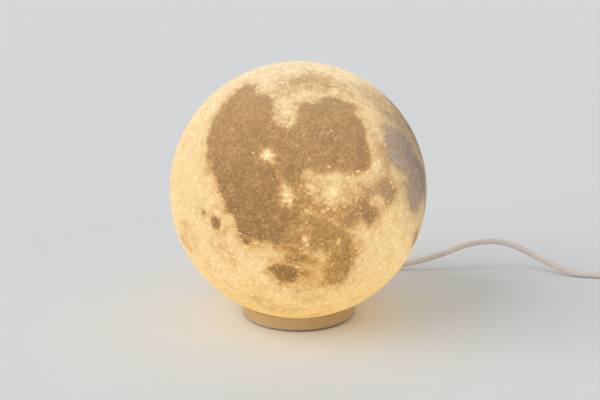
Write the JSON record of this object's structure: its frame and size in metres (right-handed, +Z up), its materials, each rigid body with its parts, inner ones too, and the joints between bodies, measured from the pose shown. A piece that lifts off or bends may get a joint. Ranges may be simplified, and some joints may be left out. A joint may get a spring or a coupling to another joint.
{
  "type": "moon lamp",
  "caption": "Round table lamp: a glowing globe with the Moon's relief turns and lifts off a low round base, fed by a USB lead with an inline rocker switch.",
  "frame": {"origin": "on the surface the lamp stands on, on the globe's axis", "axes": "+Z up along the globe's axis, -Y towards the front, +Y towards the cord's exit"},
  "size_m": [0.3749, 0.2003, 0.1508],
  "materials": {
    "moon_print": "translucent printed plastic, fine relief, lit from inside",
    "base_plastic": "satin cream plastic",
    "seal_rubber": "soft grey ring",
    "foot_rubber": "matt dark elastomer",
    "white_board": "white lacquer on an aluminium board",
    "frosted_plastic": "frosted opal",
    "green_board": "green lacquer on laminate",
    "capacitor_can": "sleeved can",
    "ferrite": "dark ferrite",
    "chip_resin": "moulded resin",
    "nylon": "moulded nylon",
    "cord_jacket": "smooth off-white jacket",
    "strap_fabric": "hook-and-loop strap",
    "switch_plastic": "satin off-white shell",
    "rocker_plastic": "smooth key",
    "steel": "zinc plated",
    "plug_plastic": "satin moulding",
    "plug_metal": "nickel plated",
    "plug_insulator": "white insulator",
    "contact_metal": "gilt strip",
    "led_package": "phosphor window in a white package",
    "wire_red": "insulated wire",
    "wire_black": "insulated wire"
  },
  "bodies": {
    "base": {"base_housing": "base_plastic", "base_cover": "base_plastic", "foot_ring": "foot_rubber", "led_board": "white_board", "diffuser_dome": "frosted_plastic", "driver_board": "green_board", "driver_capacitor": "capacitor_can", "driver_choke": "ferrite", "driver_chip": "chip_resin", "wire_terminal": "nylon", "cord_grommet": "cord_jacket", "cord_entry": "cord_jacket", "cord_lead": "cord_jacket", "cord_link": "cord_jacket", "cord_coil": "cord_jacket", "cord_tail": "cord_jacket", "cord_tie": "strap_fabric", "switch_top": "switch_plastic", "switch_bottom": "switch_plastic", "rocker_pin": "steel", "plug_overmould": "plug_plastic", "plug_shell": "plug_metal", "plug_tongue": "plug_insulator", "plug_contacts": "contact_metal", "cover_screw_1": "steel", "cover_screw_2": "steel", "cover_screw_3": "steel", "board_screw_1": "steel", "board_screw_2": "steel", "switch_screw_1": "steel", "switch_screw_2": "steel", "supply_wire_1": "wire_red", "supply_wire_2": "wire_black", "led_wire_1": "wire_red", "led_wire_2": "wire_black", "switch_contact_1": "contact_metal", "switch_contact_2": "contact_metal", "led_1": "led_package", "led_2": "led_package", "led_3": "led_package", "led_4": "led_package", "led_5": "led_package", "led_6": "led_package"},
    "seat": {"glide_ring": "seal_rubber"},
    "globe": {"moon_globe": "moon_print", "globe_collar": "base_plastic"},
    "key": {"switch_rocker": "rocker_plastic"}
  },
  "joints": [
    {"name": "globe_turn", "type": "hinge", "parent": "base", "child": "seat", "pos_m": [0, 0, 0], "axis": [0, 0, 1], "continuous": true},
    {"name": "globe_lift", "type": "slide", "parent": "seat", "child": "globe", "axis": [0, 0, 1], "range_m": [0, 0.06]},
    {"name": "switch_tip", "type": "hinge", "parent": "base", "child": "key", "pos_m": [0.232, 0, 0.01], "axis": [1, 0, 0], "range_deg": [-16, 0]}
  ]
}
